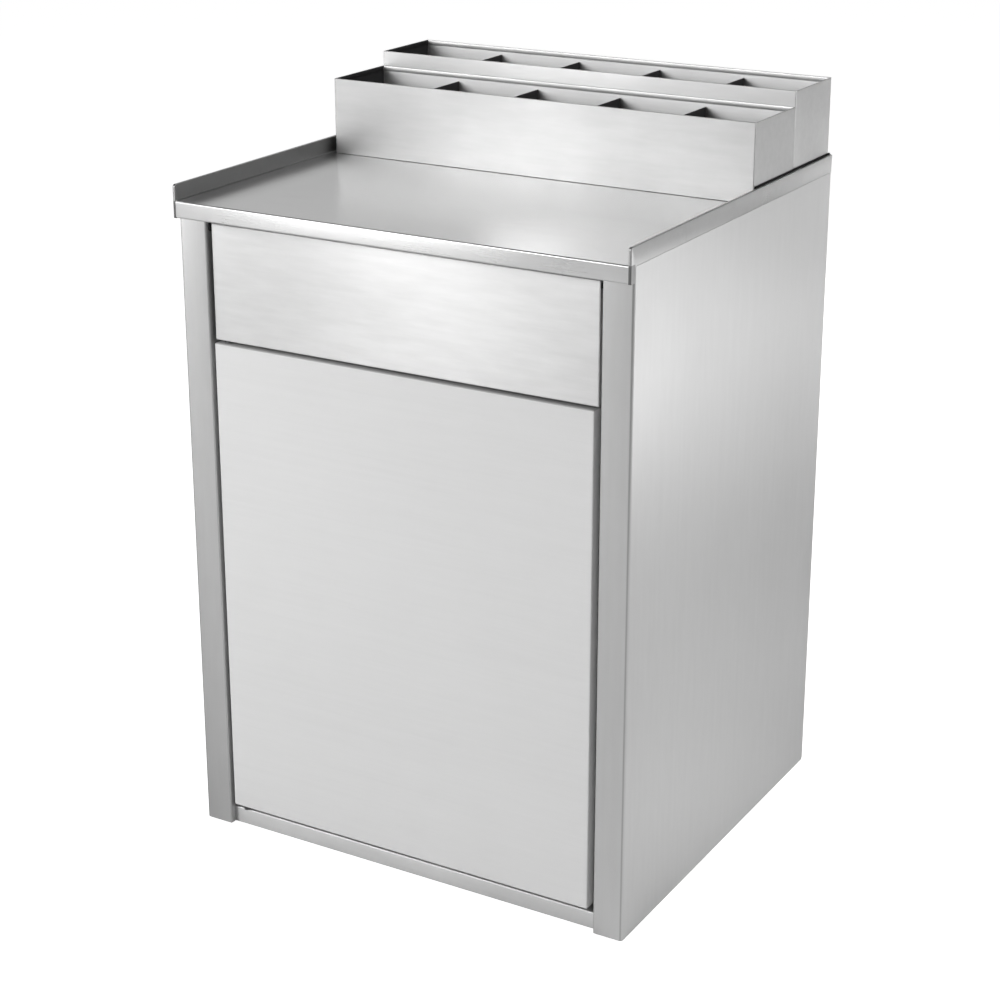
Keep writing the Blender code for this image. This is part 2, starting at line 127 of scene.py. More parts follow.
def steel(name, grain, base, rough, aniso, metallic=1.0, streak=0.05, blotch=0.05, mottle=0.10, bump=0.05, gloss=0.5, top_shade=1.0, fold=1.0):
    """Brushed sheet: fine scratches along the grain, faint bands and handling marks."""
    made, t = new_material(name)
    coords = t.add("ShaderNodeTexCoord").outputs["Object"]
    fine = t.noise(coords, grain_scale(grain, 9, 1100), 2.0, 0.6)
    band = t.noise(coords, grain_scale(grain, 1.6, 150), 3.0, 0.6, (3.1, 7.7, 1.3))
    cloud = t.noise(coords, (5.5, 5.5, 5.5), 4.0, 0.62, (11.0, 2.0, 5.0))
    smear = t.noise(coords, grain_scale(grain, 16, 100), 3.0, 0.55, (1.0, 21.0, 8.0))

    tone = t.math("MULTIPLY", t.math("SUBTRACT", fine, 0.5), streak)
    tone = t.math("MULTIPLY_ADD", t.math("SUBTRACT", band, 0.5), streak * 0.9, tone)
    tone = t.math("MULTIPLY_ADD", t.math("SUBTRACT", cloud, 0.5), blotch, tone)
    tone = t.math("MULTIPLY_ADD", t.math("SUBTRACT", smear, 0.5), mottle, tone)
    colour = t.mix(
        t.math("ADD", tone, 0.5),
        tuple(c * 0.5 for c in base) + (1.0,),
        tuple(c * 1.5 for c in base) + (1.0,),
    )
    roughness = t.math(
        "ADD",
        t.remap(cloud, 0.3, 0.7, rough * 0.93, rough * 1.07),
        t.math("MULTIPLY", t.math("SUBTRACT", fine, 0.5), rough * 0.22),
    )
    if fold < 1.0:
        # painted shade: a darker line along the outer side of a bend, standing in for the dark reflection a bend
        # shows
        facing = t.add("ShaderNodeSeparateXYZ")
        t.link(t.add("ShaderNodeTexCoord").outputs["Normal"], facing.inputs[0])
        sideways = t.math("ABSOLUTE", facing.outputs[0])
        rise = t.remap(sideways, 0.18, 0.30, 0.0, 1.0)
        fall = t.remap(sideways, 0.54, 0.70, 1.0, 0.0)
        colour = t.mix(
            t.math("MULTIPLY", rise, fall), colour,
            tuple(c * fold for c in base) + (1.0,),
        )
    if top_shade < 1.0:
        # painted shade: faces turned upwards, such as the folded upper edge, are darker than the face
        facing = t.add("ShaderNodeSeparateXYZ")
        t.link(t.add("ShaderNodeTexCoord").outputs["Normal"], facing.inputs[0])
        colour = t.mix(
            t.remap(facing.outputs[2], 0.2, 0.5, 0.0, 1.0), colour,
            tuple(c * top_shade for c in base) + (1.0,),
        )

    shader = t.add("ShaderNodeBsdfPrincipled")
    shader.inputs["Metallic"].default_value = metallic
    shader.inputs["Anisotropic"].default_value = aniso
    shader.inputs["Specular IOR Level"].default_value = gloss
    t.link(colour, shader.inputs["Base Color"])
    t.link(roughness, shader.inputs["Roughness"])

    height = t.add("ShaderNodeBump")
    height.inputs["Strength"].default_value = bump
    height.inputs["Distance"].default_value = 0.0004
    t.link(fine, height.inputs["Height"])
    t.link(height.outputs[0], shader.inputs["Normal"])

    # the scratches widen a highlight across the grain
    along = t.add("ShaderNodeCombineXYZ")
    for value, socket in zip(grain, along.inputs):
        socket.default_value = value
    turned = t.add("ShaderNodeVectorTransform", vector_type="VECTOR", convert_from="OBJECT", convert_to="WORLD")
    t.link(along.outputs[0], turned.inputs[0])
    across = t.add("ShaderNodeVectorMath", operation="CROSS_PRODUCT")
    t.link(t.add("ShaderNodeNewGeometry").outputs["True Normal"], across.inputs[0])
    t.link(turned.outputs[0], across.inputs[1])
    t.link(across.outputs[0], shader.inputs["Tangent"])

    out = t.add("ShaderNodeOutputMaterial")
    t.link(shader.outputs[0], out.inputs["Surface"])
    return made


def dull(name, base, rough, grain_size=900.0, bump=0.12, metallic=0.0, blotch=0.12, gloss=0.5):
    """Moulded plastic, rubber or plate: fine speckle, uneven sheen and small scuffs."""
    made, t = new_material(name)
    coords = t.add("ShaderNodeTexCoord").outputs["Object"]
    speckle = t.noise(coords, (grain_size,) * 3, 2.0, 0.6)
    cloud = t.noise(coords, (14.0,) * 3, 4.0, 0.6, (4.0, 9.0, 2.0))
    scuff = t.noise(coords, (60.0, 60.0, 9.0), 3.0, 0.6, (8.0, 1.0, 6.0))
    tone = t.math("MULTIPLY", t.math("SUBTRACT", cloud, 0.5), blotch)
    tone = t.math("MULTIPLY_ADD", t.math("SUBTRACT", scuff, 0.5), blotch * 0.7, tone)
    tone = t.math("MULTIPLY_ADD", t.math("SUBTRACT", speckle, 0.5), blotch * 0.5, tone)
    colour = t.mix(
        t.math("ADD", tone, 0.5),
        tuple(c * 0.4 for c in base) + (1.0,),
        tuple(min(c * 1.6, 1.0) for c in base) + (1.0,),
    )
    shader = t.add("ShaderNodeBsdfPrincipled")
    shader.inputs["Metallic"].default_value = metallic
    shader.inputs["Specular IOR Level"].default_value = gloss
    t.link(colour, shader.inputs["Base Color"])
    t.link(t.remap(cloud, 0.25, 0.75, rough - 0.07, rough + 0.07), shader.inputs["Roughness"])
    height = t.add("ShaderNodeBump")
    height.inputs["Strength"].default_value = bump
    height.inputs["Distance"].default_value = 0.0005
    t.link(speckle, height.inputs["Height"])
    t.link(height.outputs[0], shader.inputs["Normal"])
    out = t.add("ShaderNodeOutputMaterial")
    t.link(shader.outputs[0], out.inputs["Surface"])
    return made


X, Y, Z = (1, 0.004, 0.006), (0.004, 1, 0.006), (0.006, 0.004, 1)
PALE = (0.55, 0.55, 0.55)
STEEL_FRONT = steel("steel_front", X, PALE, 0.42, 0.75)
# the side sheet gets a painted shade line along its bends
STEEL_SIDE = steel("steel_side", Z, PALE, 0.40, 0.7, mottle=0.06, fold=0.70)
# a much lighter copy of the sheet for the counter's flat top than for its apron and edges: painted light
STEEL_TOP_LIT = steel("steel_top_lit", X, (0.87, 0.87, 0.87), 0.23, 0.55, streak=0.04, blotch=0.03, mottle=0.05, bump=0.004)
STEEL_EDGE = steel("steel_edge", X, (0.54, 0.54, 0.54), 0.28, 0.6, mottle=0.08, bump=0.008)
# a darker copy of the counter sheet: painted shade on the inner faces, corner hollows and front ends of the raised
# edges
STEEL_SHADED_EDGE = steel("steel_shaded_edge", X, (0.28, 0.28, 0.28), 0.34, 0.6, mottle=0.08, bump=0.008)
# a near-black copy of the sheet: painted shade on the front ends of the raised edges beside the apron
STEEL_SHADED_END = steel("steel_shaded_end", Z, (0.14, 0.14, 0.14), 0.52, 0.2)
STEEL_FLAP = steel("steel_flap", X, (0.58, 0.58, 0.58), 0.46, 0.85, mottle=0.20)
STEEL_TRAY = steel("steel_tray", X, (0.455, 0.455, 0.455), 0.48, 0.8, mottle=0.16)
STEEL_TRAY_REAR = steel("steel_tray_rear", X, (0.55, 0.55, 0.55), 0.42, 0.85, mottle=0.14)
# a lighter copy of the tray steel on the inner long walls: painted light
STEEL_LIT_WALL = steel("steel_lit_inner_wall", X, (0.74, 0.74, 0.74), 0.43, 0.6, mottle=0.16)
# near-black steel: painted shade on the dividers and on the trays' inner ends and floors
STEEL_SHADE_DARK = steel("steel_painted_shade_dark", X, (0.058, 0.058, 0.06), 0.38, 0.4)
# the door's upward-facing faces are darkened: painted shade
STEEL_DOOR = steel("steel_door", X, (0.64, 0.64, 0.64), 0.74, 0.3, metallic=0.06, streak=0.05, mottle=0.03, gloss=0.25, top_shade=0.6)
STEEL_INNER = steel("steel_inner", X, (0.45, 0.45, 0.45), 0.42, 0.3)
STEEL_BACK = steel("steel_back", Z, (0.50, 0.50, 0.50), 0.42, 0.5)
ZINC = dull("zinc_plate", (0.55, 0.56, 0.57), 0.32, 1500.0, 0.05, 1.0)
PHOSPHATE = dull("phosphate_dark", (0.11, 0.11, 0.112), 0.48, 1500.0, 0.06, 0.7)
RUBBER = dull("rubber_black", (0.035, 0.035, 0.036), 0.72, 1400.0, 0.2)
SEAL = dull("seal_black", (0.010, 0.010, 0.010), 0.85, 1400.0, 0.1, gloss=0.06)
NYLON = dull("nylon_black", (0.05, 0.05, 0.052), 0.5, 1500.0, 0.1)
POLY = dull("polyethylene_grey", (0.22, 0.23, 0.24), 0.55, 700.0, 0.2)

LOOK = {
    "left_side_panel": STEEL_SIDE,
    "right_side_panel": STEEL_SIDE,
    "back_panel": STEEL_BACK,
    "base_pan": STEEL_FRONT,
    "front_header": STEEL_INNER,
    "rear_top_rail": STEEL_INNER,
    "mid_rail": STEEL_INNER,
    "counter_top": STEEL_TOP_LIT,
    "bin_guide_left": STEEL_INNER,
    "bin_guide_right": STEEL_INNER,
    "flap_panel": STEEL_FLAP,
    "flap_inner_panel": STEEL_INNER,
    "door_panel": STEEL_DOOR,
    "door_inner_panel": STEEL_INNER,
    "door_stiffener": STEEL_INNER,
    "waste_bin": POLY,
}
for name in NODES:
    if name.startswith("organiser"):
        # the dividers get the near-black steel: painted shade
        LOOK[name] = STEEL_SHADE_DARK if "divider" in name else STEEL_TRAY
    elif name.startswith("door_pivot_bracket"):
        LOOK[name] = PHOSPHATE
    elif name.startswith(("back_screw", "door_pivot_pin", "flap_pivot_pin", "strike")):
        LOOK[name] = ZINC
    elif name.startswith(("flap_stop", "door_bumper")):
        LOOK[name] = RUBBER
    elif name.startswith(("glide", "flap_pivot_bush", "magnet", "door_thrust")):
        LOOK[name] = NYLON


# ---------------------------------------------------------------- edges of the CAD nodes
def soft_bends():
    """Joins the split corners and shades bends smooth, corners sharp."""
    g = bpy.data.node_groups.new("soft_bends", "GeometryNodeTree")
    g.interface.new_socket("Geometry", in_out="INPUT", socket_type="NodeSocketGeometry")
    g.interface.new_socket("Geometry", in_out="OUTPUT", socket_type="NodeSocketGeometry")
    came = g.nodes.new("NodeGroupInput")
    goes = g.nodes.new("NodeGroupOutput")
    weld = g.nodes.new("GeometryNodeMergeByDistance")
    weld.inputs["Distance"].default_value = 2e-6
    drop = g.nodes.new("GeometryNodeRemoveAttribute")
    drop.inputs["Name"].default_value = "custom_normal"
    faces = g.nodes.new("GeometryNodeSetShadeSmooth")
    faces.domain = "FACE"
    faces.inputs["Shade Smooth"].default_value = True
    angle = g.nodes.new("GeometryNodeInputMeshEdgeAngle")
    over = g.nodes.new("FunctionNodeCompare")
    over.data_type = "FLOAT"
    over.operation = "GREATER_THAN"
    over.inputs[1].default_value = math.radians(36)
    edges = g.nodes.new("GeometryNodeSetShadeSmooth")
    edges.domain = "EDGE"
    edges.inputs["Shade Smooth"].default_value = False
    g.links.new(came.outputs[0], weld.inputs["Geometry"])
    g.links.new(weld.outputs[0], drop.inputs["Geometry"])
    g.links.new(drop.outputs[0], faces.inputs["Geometry"])
    g.links.new(faces.outputs[0], edges.inputs["Geometry"])
    g.links.new(angle.outputs["Unsigned Angle"], over.inputs[0])
    g.links.new(over.outputs[0], edges.inputs["Selection"])
    g.links.new(edges.outputs[0], goes.inputs[0])
    return g


SOFT = soft_bends()


def dress(obj, mat, edge=0.3 * MM, segments=2):
    obj.data.materials.clear()
    obj.data.materials.append(mat)
    mod = obj.modifiers.new("soft_bends", "NODES")
    mod.node_group = SOFT
    if edge:
        mod = obj.modifiers.new("edge", "BEVEL")
        mod.width = edge
        mod.segments = segments
        mod.limit_method = "ANGLE"
        mod.angle_limit = math.radians(40)
        mod.harden_normals = True


for name, obj in NODES.items():
    dress(obj, LOOK[name])


# ---------------------------------------------------------------- mesh helpers, in millimetres
def piece(name, bm, body, mat, slot, *nodes, sharp=36):
    """One object from a mesh in millimetres, riding on a body."""
    bmesh.ops.remove_doubles(bm, verts=bm.verts, dist=1e-4)
    bmesh.ops.recalc_face_normals(bm, faces=bm.faces)
    bmesh.ops.scale(bm, verts=bm.verts, vec=(MM, MM, MM))
    mesh = bpy.data.meshes.new(name)
    bm.to_mesh(mesh)
    bm.free()
    mesh.materials.append(mat)
    mesh.shade_smooth()
    mesh.set_sharp_from_angle(angle=math.radians(sharp))
    obj = bpy.data.objects.new(name, mesh)
    scene.collection.objects.link(obj)
    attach(obj, body)
    if nodes:
        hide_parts(*nodes)
    return obj


def mm_box(node):
    lo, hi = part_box(node)
    return [v / MM for v in lo], [v / MM for v in hi]


def rows_to_faces(bm, rows, cap_first=True, cap_last=True):
    made = [[bm.verts.new(p) for p in row] for row in rows]
    for low, high in zip(made, made[1:]):
        n = len(low)
        for i in range(n):
            j = (i + 1) % n
            bm.faces.new((low[i], low[j], high[j], high[i]))
    if cap_first:
        bm.faces.new(list(reversed(made[0])))
    if cap_last:
        bm.faces.new(made[-1])
    return made


def round_loop(x0, x1, y0, y1, r, z, steps=6):
    """A level loop with rounded corners."""
    found = []
    for cx, cy, a0 in ((x1 - r, y1 - r, 0.0), (x0 + r, y1 - r, 0.5), (x0 + r, y0 + r, 1.0), (x1 - r, y0 + r, 1.5)):
        for k in range(steps + 1):
            a = math.pi * (a0 + 0.5 * k / steps)
            found.append((cx + r * math.cos(a), cy + r * math.sin(a), z))
    return found


def bent(path, t, radius, steps):
    """Both faces of a bent strip; path is its outer face, metal on the left of travel."""
    outer, inner = [], []
    points = [Vector(p) for p in path]
    for i, p in enumerate(points):
        before = (p - points[i - 1]).normalized() if i else None
        after = (points[i + 1] - p).normalized() if i + 1 < len(points) else None
        if before is None or after is None:
            d = before or after
            outer.append(p)
            inner.append(p + Vector((-d.y, d.x)) * t)
            continue
        turn = math.atan2(before.x * after.y - before.y * after.x, before.dot(after))
        side = 1.0 if turn > 0 else -1.0
        r_out = radius if side > 0 else radius - t
        r_in = r_out - side * t
        normal = Vector((-before.y, before.x)) * side
        centre = p - before * (r_out * math.tan(abs(turn) / 2)) + normal * r_out
        start = math.atan2(-normal.y, -normal.x)
        for k in range(steps + 1):
            a = start + turn * k / steps
            ray = Vector((math.cos(a), math.sin(a)))
            outer.append(centre + ray * r_out)
            inner.append(centre + ray * r_in)
    return outer, inner


def add_strip(bm, path, t, x0, x1, radius, steps=10):
    """A bent strip in the YZ plane, pulled along X."""
    outer, inner = bent(path, t, radius, steps)
    ring = outer + list(reversed(inner))
    rows = [[(x, p.x, p.y) for p in ring] for x in (x0, x1)]
    made = [[bm.verts.new(p) for p in row] for row in rows]
    n = len(ring)
    for i in range(n):
        j = (i + 1) % n
        bm.faces.new((made[0][i], made[0][j], made[1][j], made[1][i]))
    half = len(outer)
    for row in made:
        for i in range(half - 1):
            bm.faces.new((row[i], row[i + 1], row[n - 2 - i], row[n - 1 - i]))


def add_plate(bm, outline, x0, x1, r, segments=4):
    """An upright plate in the YZ plane with its edges rounded."""
    part = bmesh.new()
    rows_to_faces(part, [[(x, y, z) for y, z in outline] for x in (x0, x1)])
    bmesh.ops.recalc_face_normals(part, faces=part.faces)
    sharp = [
        e for e in part.edges
        if e.calc_face_angle(0.0) > math.radians(50)
        and (max(v.co.z for v in e.verts) > 930.0 or max(v.co.y for v in e.verts) < -300.0)
    ]
    bmesh.ops.bevel(
        part, geom=sharp, offset=r, offset_type="OFFSET", segments=segments,
        profile=0.5, affect="EDGES", clamp_overlap=True,
    )
    # edges where the end tab is welded on
    for at, across in (((0, -298.2, 0), (0, 1, 0)), ((0, 0, 917.0), (0, 0, 1))):
        bmesh.ops.bisect_plane(
            part, geom=list(part.verts) + list(part.edges) + list(part.faces), dist=1e-5,
            plane_co=at, plane_no=across,
        )
    mesh = bpy.data.meshes.new("part")
    part.to_mesh(mesh)
    part.free()
    bm.from_mesh(mesh)
    bpy.data.meshes.remove(mesh)


# ---------------------------------------------------------------- counter with hemmed edges
def counter():
    lo, hi = mm_box("counter_top")
    top, edge_t, sheet = 917.0, 4.0, 1.5
    bm = bmesh.new()
    add_strip(
        bm,
        [(hi[1] - 0.2, top), (lo[1] + 0.3, top), (lo[1] + 0.3, lo[2] + 0.2), (-299.0, lo[2] + 0.2)],
        sheet, lo[0] + edge_t - 0.5, hi[0] - edge_t + 0.5, 2.6,
    )
    panel_top = 914.3
    for side, x_in, x_out in ((-1, lo[0] + edge_t, lo[0]), (1, hi[0] - edge_t, hi[0])):
        outline = [
            (lo[1], lo[2]), (-298.0, lo[2]), (-298.0, panel_top), (hi[1], panel_top), (hi[1], hi[2]),
        ]
        corner = 4.0
        for k in range(7):
            a = 0.5 * math.pi * (1 + k / 6)
            outline.append((lo[1] + corner + corner * math.cos(a), hi[2] - corner + corner * math.sin(a)))
        add_plate(bm, outline, min(x_in, x_out), max(x_in, x_out), 0.8)
        # the weld inside the corner is ground to a small hollow
        r = 2.2
        hollow = [(x_in + side * 0.3, top - 0.3)]
        for k in range(7):
            a = 0.5 * math.pi * k / 6
            hollow.append((x_in - side * r * (1 - math.sin(a)), top + r * (1 - math.cos(a))))
        rows_to_faces(bm, [[(x, y, z) for x, z in hollow] for y in (lo[1] + 3.0, hi[1] - 0.4)])
    obj = piece("counter", bm, "cabinet", STEEL_TOP_LIT, "steel", "counter_top")
    obj.data.materials.append(STEEL_EDGE)
    obj.data.materials.append(STEEL_SHADED_END)
    obj.data.materials.append(STEEL_SHADED_EDGE)
    # painted shade: the front ends, inner faces and corner hollows of the raised edges get darker copies of the
    # steel
    for face in obj.data.polygons:
        flat = face.normal.z > 0.9 and abs(face.center.z - top * MM) < 1.2 * MM
        front = face.center.y < -304.0 * MM and abs(face.center.x) > 333.6 * MM
        end = front and face.normal.y < -0.1 and face.center.z < top * MM
        tab = front and face.normal.y < -0.1
        tab = tab or (face.center.y < -298.0 * MM and abs(face.center.x) > 337.0 * MM and face.center.z < top * MM)
        hollow = top * MM < face.center.z < (top + 2.6) * MM and 330.0 * MM < abs(face.center.x) < 334.5 * MM
        inward = face.normal.x * face.center.x < -0.95 * abs(face.center.x) and face.center.z > top * MM
        face.material_index = 2 if end else 3 if inward or hollow or tab else 0 if flat else 1


counter()


# ---------------------------------------------------------------- organiser trays
def tray(node, body, mat):
    lo, hi = mm_box(node)
    wall, corner, hem, hem_deep = 1.5, 2.0, 2.3, 7.4
    z0, z1 = lo[2], hi[2]

    def loop(inset, z):
        return round_loop(
            lo[0] + inset, hi[0] - inset, lo[1] + inset, hi[1] - inset,
            max(corner - inset, 0.6), z,
        )

    rows = []
    fold = 0.9
    for k in range(5):
        a = 0.5 * math.pi * k / 4
        rows.append(loop(wall + fold * (1 - math.sin(a)), z0 + wall + fold * (1 - math.cos(a))))
    rows.append(loop(wall, z1 - hem_deep))
    rows.append(loop(hem - 0.2, z1 - hem_deep))
    rows.append(loop(hem, z1 - hem_deep + 0.3))
    r = hem / 2
    for k in range(9):
        a = math.pi * k / 8
        rows.append(loop(r + r * math.cos(a), z1 - r + r * math.sin(a)))
    for k in range(5):
        a = 0.5 * math.pi * k / 4
        rows.append(loop(fold * (1 - math.cos(a)), z0 + fold * (1 - math.sin(a))))
    bm = bmesh.new()
    rows_to_faces(bm, rows)
    obj = piece(node + "_tray", bm, body, mat, "steel", node)
    obj.data.materials.append(STEEL_SHADE_DARK)
    obj.data.materials.append(STEEL_LIT_WALL)
    # painted shade: the ends and the floor inside get a near-black steel
    for face in obj.data.polygons:
        inside = all(
            a * MM + 1.2 * MM < c < b * MM - 1.2 * MM
            for a, b, c in zip(lo[:2], hi[:2], face.center[:2])
        )
        end = abs(face.normal.x) > 0.6
        low = face.center.z < (z0 + 4.0) * MM and face.normal.z > 0.1
        long_wall = abs(face.normal.y) > 0.6
        if inside:
            # the inner long walls get the lighter copy of the tray steel: painted light
            face.material_index = 1 if end or low else 2 if long_wall else 0


# ---------------------------------------------------------------- flap pivots
def pivot_sleeves():
    """A black spacer on each flap pin, between the flap and the stile."""
    for hand, side in (("left", -1), ("right", 1)):
        lo, hi = mm_box("flap_pivot_pin_" + hand)
        cy, cz = (lo[1] + hi[1]) / 2, (lo[2] + hi[2]) / 2
        rows = []
        for r, x in ((3.62, 290.2), (5.2, 290.2), (5.5, 290.5), (5.5, 291.3), (4.5, 291.7), (4.5, 292.9), (4.2, 293.4), (3.62, 293.4)):
            rows.append([
                (side * x, cy + r * math.cos(2 * math.pi * k / 32), cz + r * math.sin(2 * math.pi * k / 32))
                for k in range(32)
            ])
        rows.append(rows[0])
        bm = bmesh.new()
        rows_to_faces(bm, rows, False, False)
        piece("flap_spacer_" + hand, bm, "flap", SEAL, "nylon")


pivot_sleeves()

tray("organiser_front", "front_tier", STEEL_TRAY)
tray("organiser_rear", "rear_tier", STEEL_TRAY_REAR)


# ---------------------------------------------------------------- fasteners and feet
def lathe(profile, centre, along, segments=32, turn=0.0):
    """A turned solid; profile holds (radius, distance along the axis)."""
    bm = bmesh.new()
    rows = []
    for r, s in profile:
        row = []
        for k in range(segments):
            a = 2 * math.pi * (k + turn) / segments
            u, v = r * math.cos(a), r * math.sin(a)
            local = {"Z": (u, v, s), "X": (s, u, v), "Y": (v, s, u)}[along]
            row.append(tuple(c + d for c, d in zip(centre, local)))
        rows.append(row)
    rows_to_faces(bm, rows)
    bmesh.ops.recalc_face_normals(bm, faces=bm.faces)
    return bm


def arc(cr, cs, radius, a0, a1, steps):
    """Profile points on an arc, angles in degrees."""
    found = []
    for k in range(steps + 1):
        a = math.radians(a0 + (a1 - a0) * k / steps)
        found.append((cr + radius * math.cos(a), cs + radius * math.sin(a)))
    return found


def cut_away(bm, cutter):
    """The first solid with the second one taken out of it."""
    pair = []
    for name, source in (("blank", bm), ("cutter", cutter)):
        mesh = bpy.data.meshes.new(name)
        source.to_mesh(mesh)
        source.free()
        pair.append(bpy.data.objects.new(name, mesh))
        scene.collection.objects.link(pair[-1])
    mod = pair[0].modifiers.new("cut", "BOOLEAN")
    mod.operation = "DIFFERENCE"
    mod.solver = "EXACT"
    mod.object = pair[1]
    bpy.context.view_layer.update()
    done = pair[0].evaluated_get(bpy.context.evaluated_depsgraph_get())
    found = bmesh.new()
    found.from_mesh(done.data)
    for obj in pair:
        mesh = obj.data
        bpy.data.objects.remove(obj)
        bpy.data.meshes.remove(mesh)
    return found


def cross_screw(head_r, head_h, shank_r, shank):
    """A pan-head screw pointing along +Y, its seat at the origin."""
    profile = [(0.5, -shank), (shank_r - 0.5, -shank + 0.4)]
    turns = max(3, int(shank / 0.9))
    for k in range(turns):
        s = -shank + 0.8 + (shank - 1.0) * k / turns
        profile += [(shank_r - 0.35, s), (shank_r, s + 0.35 * shank / turns)]
    profile += [(shank_r, 0.0), (head_r - 0.15, 0.0), (head_r, 0.15), (head_r, 0.35 * head_h)]
    for k in range(1, 9):
        a = 0.5 * math.pi * k / 9
        profile.append((head_r * math.cos(a), head_h * (0.35 + 0.65 * math.sin(a))))
    profile.append((head_r * 0.1, head_h))
    w, reach, deep = head_r * 0.15, head_r * 0.52, head_h * 0.62
    plus = [
        (w, w), (w, reach), (-w, reach), (-w, w), (-reach, w), (-reach, -w),
        (-w, -w), (-w, -reach), (w, -reach), (w, -w), (reach, -w), (reach, w),
    ]
    cutter = bmesh.new()
    rows_to_faces(cutter, [
        [(x * k, y, z * k) for x, z in plus] for y, k in ((head_h - deep, 0.72), (head_h + 0.3, 1.08))
    ])
    bmesh.ops.recalc_face_normals(cutter, faces=cutter.faces)
    return cut_away(lathe(profile, (0, 0, 0), "Y", 40), cutter)


def copy_at(bm, move, turn=0.0, flip=False):
    new = bm.copy()
    if flip:
        bmesh.ops.rotate(new, verts=new.verts, cent=(0, 0, 0), matrix=Matrix.Rotation(math.pi, 3, "Z"))
    bmesh.ops.rotate(new, verts=new.verts, cent=(0, 0, 0), matrix=Matrix.Rotation(turn, 3, "Y"))
    bmesh.ops.translate(new, verts=new.verts, vec=move)
    return new


def back_screws():
    blank = cross_screw(4.6, 1.68, 2.0, 7.2)
    turn = 0.3
    for hand in ("left", "right"):
        for n in (1, 2, 3):
            node = "back_screw_%s_%d" % (hand, n)
            lo, hi = mm_box(node)
            at = ((lo[0] + hi[0]) / 2, 306.82, (lo[2] + hi[2]) / 2)
            turn += 1.1
            piece(node + "_cross", copy_at(blank, at, turn), "cabinet", ZINC, "zinc", node, sharp=30)
    blank.free()


back_screws()


def glides():
    """A moulded foot with a threaded stem and a nut under the base pan."""
    for end in ("front", "rear"):
        for hand in ("left", "right"):
            node = "glide_%s_%s" % (end, hand)
            lo, hi = mm_box(node)
            at = ((lo[0] + hi[0]) / 2, (lo[1] + hi[1]) / 2, 0.0)
            foot = [(13.6, 0.0)] + arc(16.4, 1.6, 1.6, -90, 0, 5) + arc(16.6, 4.0, 1.4, 0, 80, 5)
            foot += [(10.2, 6.6), (9.4, 7.4), (9.0, 9.2), (8.4, 9.6), (5.2, 9.6)]
            piece(node + "_foot", lathe(foot, at, "Z", 48), "cabinet", NYLON, "nylon", node)
            stem = [(4.0, 8.6)]
            s = 9.0
            while s < 23.0:
                stem += [(4.35, s), (5.0, s + 0.45)]
                s += 0.9
            stem += [(4.6, 24.0), (4.0, 24.18)]
            piece(node + "_stem", lathe(stem, at, "Z", 32), "cabinet", ZINC, "zinc")
            nut = [(7.6, 18.6), (8.8, 19.2), (8.8, 23.3), (7.6, 23.9)]
            piece(node + "_nut", lathe(nut, at, "Z", 6, 0.5), "cabinet", ZINC, "zinc", sharp=20)


glides()


# ---------------------------------------------------------------- catch and bin ribs
def add_box(bm, x0, x1, y0, y1, z0, z1, r, segments=2):
    part = bmesh.new()
    rows_to_faces(part, [
        [(x, y, z) for x, y in ((x0, y0), (x1, y0), (x1, y1), (x0, y1))] for z in (z0, z1)
    ])
    bmesh.ops.recalc_face_normals(part, faces=part.faces)
    bmesh.ops.bevel(
        part, geom=list(part.edges), offset=r, offset_type="OFFSET", segments=segments,
        profile=0.5, affect="EDGES", clamp_overlap=True,
    )
    mesh = bpy.data.meshes.new("part")
    part.to_mesh(mesh)
    part.free()
    bm.from_mesh(mesh)
    bpy.data.meshes.remove(mesh)


def catch():
    lo, hi = mm_box("magnet_catch")
    bm = bmesh.new()
    add_box(bm, lo[0], hi[0], lo[1] + 1.6, hi[1], lo[2], hi[2], 1.2, 3)
    add_box(bm, lo[0] + 6.0, hi[0] - 6.0, lo[1] + 0.5, lo[1] + 4.0, lo[2] + 3.0, hi[2] - 3.0, 0.6, 2)
    piece("catch_housing", bm, "cabinet", NYLON, "nylon", "magnet_catch")
    bm = bmesh.new()
    for z in (lo[2] + 6.4, hi[2] - 6.4):
        add_box(bm, lo[0] + 7.5, hi[0] - 7.5, lo[1] + 0.05, lo[1] + 3.0, z - 1.0, z + 1.0, 0.25, 2)
    piece("catch_poles", bm, "cabinet", ZINC, "zinc")


catch()


def bin_ribs():
    """Moulded bands round the bin, following its taper."""
    lo, hi = mm_box("waste_bin")
    cx, cy = (lo[0] + hi[0]) / 2, (lo[1] + hi[1]) / 2
    for n, z in enumerate((170.0, 330.0, 490.0)):
        rows = []
        for dz, out in ((-5.0, -0.8), (-4.4, 0.5), (-3.0, 1.3), (0.0, 1.6), (3.0, 1.3), (4.4, 0.5), (5.0, -0.8)):
            k = (z + dz - 30.0) / 618.0
            hx, hy, r = 235 + 28.5 * k + out, 215 + 28.5 * k + out, 40 + 5.5 * k + out
            rows.append(round_loop(cx - hx, cx + hx, cy - hy, cy + hy, r, z + dz, 10))
        rows.append(rows[0])
        bm = bmesh.new()
        rows_to_faces(bm, rows, False, False)
        piece("bin_rib_%d" % (n + 1), bm, "bin", POLY, "bin_plastic", sharp=50)


bin_ribs()


